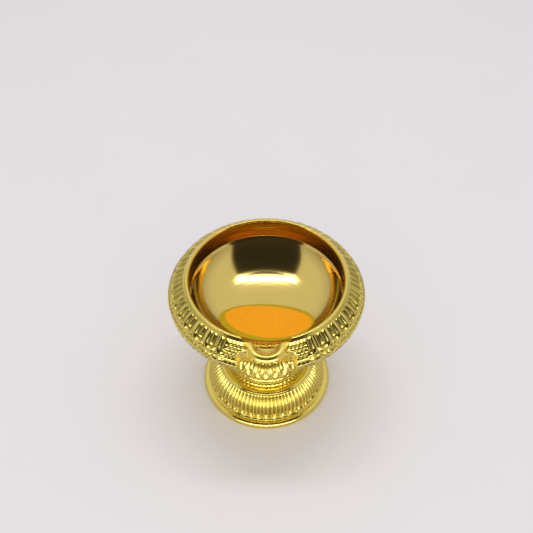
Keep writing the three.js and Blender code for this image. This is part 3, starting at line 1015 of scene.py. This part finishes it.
class LAMP_OT_knop(Operator):
    """Turns and carves the knop that carries the bowl"""

    bl_idname = "lamp.knop"
    bl_label = "Stem knop"

    def execute(self, context):
        size = sizes()
        seat = FOOT_HEIGHT + SEAT_GAP
        dome_foot = seat + KNOP_BEAD_HEIGHT
        dome_radius = KNOP_RADIUS - KNOP_BEAD_LEDGE
        dome_top = KNOP_TOP - KNOP_DOME_DROP
        flange = KNOP_TOP - BOSS_FLANGE

        def leaves(share, angle, height):
            cut = petal_cut(share, angle, size.knop_leaves)
            return cut * size.knop_depth / MM, cut

        def beads(share, angle, height):
            cut = bead_cut(share, angle, size.knop_beads)
            return cut * KNOP_BEAD_DEPTH, 0.7 * cut

        dome = (dome_radius, dome_top - KNOP_DOME_BEND, KNOP_DOME_RADIUS, dome_top)
        outline = (
            Outline(STUD_BORE, TENON_END)
            .line(TENON_RADIUS, TENON_END, step=1, ease=0.3)
            .line(TENON_RADIUS, seat, step=0.8, ease=0.3)
            .line(KNOP_RADIUS, seat, step=1.2, ease=0.1)
            .line(KNOP_RADIUS, dome_foot, 0.13, 0.15, "beads")
            .line(dome_radius, dome_foot, step=0.2, ease=0.12)
            .curve(*dome, 0.24, 0.1, "leaves")
            .line(NECK_RADIUS, dome_top + EDGE_ROUND, step=0.3, ease=0.2)
            .line(KNOP_TOP_RADIUS, flange, step=0.4, ease=0.3)
            .line(KNOP_TOP_RADIUS, KNOP_TOP, step=0.3, ease=0.3)
            .line(STUD_BORE, KNOP_TOP, step=0.8, ease=0.3)
            .line(STUD_BORE, TENON_END, 0.16, 0, "thread")
        )
        carvings = {"leaves": leaves, "beads": beads, "thread": thread_cut}
        knop = turned("stem_knop_brass", outline, KNOP_RAYS, carvings, closed=True)
        finish = material("cast_brass_chased", cast_brass)
        hand_over(knop, "pedestal", "stem_knop", "cast_brass", finish)
        return {"FINISHED"}


class LAMP_OT_foot(Operator):
    """Turns and flutes the hollow foot"""

    bl_idname = "lamp.foot"
    bl_label = "Pedestal foot"

    def execute(self, context):
        size = sizes()
        under = FOOT_HEIGHT - FOOT_WALL
        rest = FOOT_RADIUS - FOOT_ROUND
        bead = DISH_RADIUS - DISH_BEAD
        roll = (bead - DISH_ROLL[0], FOOT_HEIGHT - DISH_ROLL[1])
        dish = (bead - DISH_ROLL_END[0], FOOT_HEIGHT - DISH_ROLL_END[1])

        def flutes(share, angle, height):
            cut = flute_cut(share, angle, size.flutes)
            return cut * size.flute_depth / MM, cut

        hollow = (SKIRT_RADIUS - FOOT_WALL, under - FOOT_WALL, rest - FOOT_RING, 0)
        edge = (FOOT_RADIUS - FOOT_EDGE_LEAN, SKIRT_FOOT, SKIRT_RADIUS, SKIRT_FOOT)
        skirt = (SKIRT_RADIUS, DISH_HEIGHT - SKIRT_BEND_DROP, bead, DISH_HEIGHT - DISH_BEAD)
        outline = (
            Outline(FOOT_HOLE, under)
            .line(KNOP_RADIUS - FOOT_WALL, under, step=1)
            .curve(*hollow, step=0.8)
            .line(rest, 0, step=0.5)
            .line(FOOT_RADIUS, FOOT_ROUND, step=0.2, ease=0.2)
            .line(FOOT_RADIUS, FOOT_EDGE, step=0.3, ease=0.3)
            .curve(*edge, step=0.3, ease=0.5)
            .curve(*skirt, 0.22, 0.15, "flutes")
            .line(DISH_RADIUS, DISH_HEIGHT - DISH_BEAD / 2, step=0.15, ease=0.05)
            .line(bead, DISH_HEIGHT, step=0.15, ease=0.2)
            .curve(*roll, *dish, step=0.15, ease=0.1)
            .line(KNOP_RADIUS, FOOT_HEIGHT, step=0.5)
            .line(FOOT_HOLE, FOOT_HEIGHT, step=1.2)
            .line(FOOT_HOLE, under, step=0.6)
        )
        carvings = {"flutes": flutes}
        foot = turned("pedestal_foot_brass", outline, FOOT_RAYS, carvings, closed=True)
        finish = material("cast_brass_chased", cast_brass)
        hand_over(foot, "pedestal", "pedestal_foot", "cast_brass", finish)
        return {"FINISHED"}


def matt_floor(tree):
    """Seamless card: even, pale and matt."""
    place = add(tree, "ShaderNodeTexCoord").outputs["Object"]
    # The card's tone drifts over about 40 mm, by no more than the eye just notices.
    mottle = add(tree, "ShaderNodeTexNoise", {"Vector": place, "Scale": per_metre(40), "Detail": 2})
    shade = add(tree, "ShaderNodeMapRange", {"Value": mottle, "To Min": 0.985, "To Max": 1.015})
    tone = add(tree, "ShaderNodeHueSaturation", {"Color": opaque(colours().floor), "Value": shade})
    return add(
        tree,
        "ShaderNodeBsdfPrincipled",
        {"Base Color": tone, "Roughness": 0.9, "Specular IOR Level": 0.1},
    )


def black_card(tree):
    """Matt black card: what makes the dark reflections that show polished metal's shape."""
    ink = opaque(linear("#1D1612"))
    return add(tree, "ShaderNodeBsdfPrincipled", {"Base Color": ink, "Roughness": 0.9})


class LAMP_OT_stage(Operator):
    """Sets the floor, lights, dark card and camera"""

    bl_idname = "lamp.stage"
    bl_label = "Stage"

    def execute(self, context):
        self.floor()
        self.card()
        self.studio(context.scene)
        self.lights(context.scene)
        self.camera(context.scene)
        context.scene.view_settings.view_transform = "Standard"
        return {"FINISHED"}

    def floor(self):
        side = 9
        grid = np.linspace(-FLOOR_REACH, FLOOR_REACH, side)
        vertices = np.array([(x, y, 0) for y in grid for x in grid])
        corners = [r * side + c for r in range(side - 1) for c in range(side - 1)]
        faces = [[k, k + 1, k + side + 1, k + side] for k in corners]
        floor = mesh_object("stage_floor", vertices, faces)
        if floor.data.polygons[0].normal.z < 0:
            floor.data.flip_normals()
        floor.data.materials.append(material("seamless_card_matt", matt_floor))

    def card(self):
        """A dark card high over the front of the lamp, seen only in polished metal."""
        card = mesh_object("stage_dark_card", np.array(CARD_CORNERS), [[0, 1, 2, 3]])
        card.data.materials.append(material("card_black_matt", black_card))
        card.visible_camera = False
        card.visible_diffuse = False
        card.visible_shadow = False

    def studio(self, scene):
        """Pale walls all round, brighter overhead."""
        world = bpy.data.worlds.new("studio")
        scene.world = world
        world.use_nodes = True
        tree = world.node_tree
        tree.nodes.clear()
        place = add(tree, "ShaderNodeTexCoord").outputs["Generated"]
        toward = add(tree, "ShaderNodeSeparateXYZ", {0: place}).outputs["Z"]
        rise = {"Value": toward, "From Min": 0, "From Max": 0.6, "To Min": 0.45, "To Max": 1.0}
        strength = add(tree, "ShaderNodeMapRange", rise)
        walls = {"Color": opaque(STUDIO_LIGHT), "Strength": strength}
        sky = add(tree, "ShaderNodeBackground", walls)
        add(tree, "ShaderNodeOutputWorld", {"Surface": sky})

    def lights(self, scene):
        for name, place, aim, width, depth, watts in LIGHTS:
            lamp = bpy.data.lights.new(name, "AREA")
            lamp.shape = "RECTANGLE"
            lamp.size, lamp.size_y = width, depth
            lamp.energy = watts
            stand = bpy.data.objects.new(name, lamp)
            stand.location = place
            aimed = Vector(aim) - Vector(place)
            stand.rotation_euler = aimed.to_track_quat("-Z", "Y").to_euler()
            stand.visible_camera = False
            stand.visible_diffuse = name != "bounce"
            scene.collection.objects.link(stand)

    def camera(self, scene):
        lens = bpy.data.cameras.new("camera")
        lens.lens = CAMERA_LENS
        camera = bpy.data.objects.new("camera", lens)
        camera.location = CAMERA_PLACE
        camera.rotation_euler = (CAMERA_TILT, 0, 0)
        scene.collection.objects.link(camera)
        scene.camera = camera


class LAMP_PT_pieces(Panel):
    """The lamp's pieces and their sizes and colours"""

    bl_idname = "LAMP_PT_pieces"
    bl_label = "Oil lamp"
    bl_space_type = "VIEW_3D"
    bl_region_type = "UI"
    bl_category = "Lamp"

    def draw(self, context):
        for step in STEPS:
            self.layout.operator(step.bl_idname)
        for group in (context.scene.lamp_sizes, context.scene.lamp_colours):
            box = self.layout.box()
            for name in group.__annotations__:
                box.prop(group, name)


STEPS = (
    LAMP_OT_bowl,
    LAMP_OT_spout,
    LAMP_OT_label,
    LAMP_OT_stud,
    LAMP_OT_washer,
    LAMP_OT_knop,
    LAMP_OT_foot,
    LAMP_OT_stage,
)
CLASSES = (LampSizes, LampColours, *STEPS, LAMP_PT_pieces)


def register():
    for found in CLASSES:
        bpy.utils.register_class(found)
    bpy.types.Scene.lamp_sizes = PointerProperty(type=LampSizes)
    bpy.types.Scene.lamp_colours = PointerProperty(type=LampColours)


def unregister():
    del bpy.types.Scene.lamp_colours
    del bpy.types.Scene.lamp_sizes
    for found in reversed(CLASSES):
        bpy.utils.unregister_class(found)


def main():
    register()
    bpy.ops.lamp.bowl()
    bpy.ops.lamp.spout()
    bpy.ops.lamp.label()
    bpy.ops.lamp.stud()
    bpy.ops.lamp.washer()
    bpy.ops.lamp.knop()
    bpy.ops.lamp.foot()
    bpy.ops.lamp.stage()


if __name__ == "__main__":
    main()
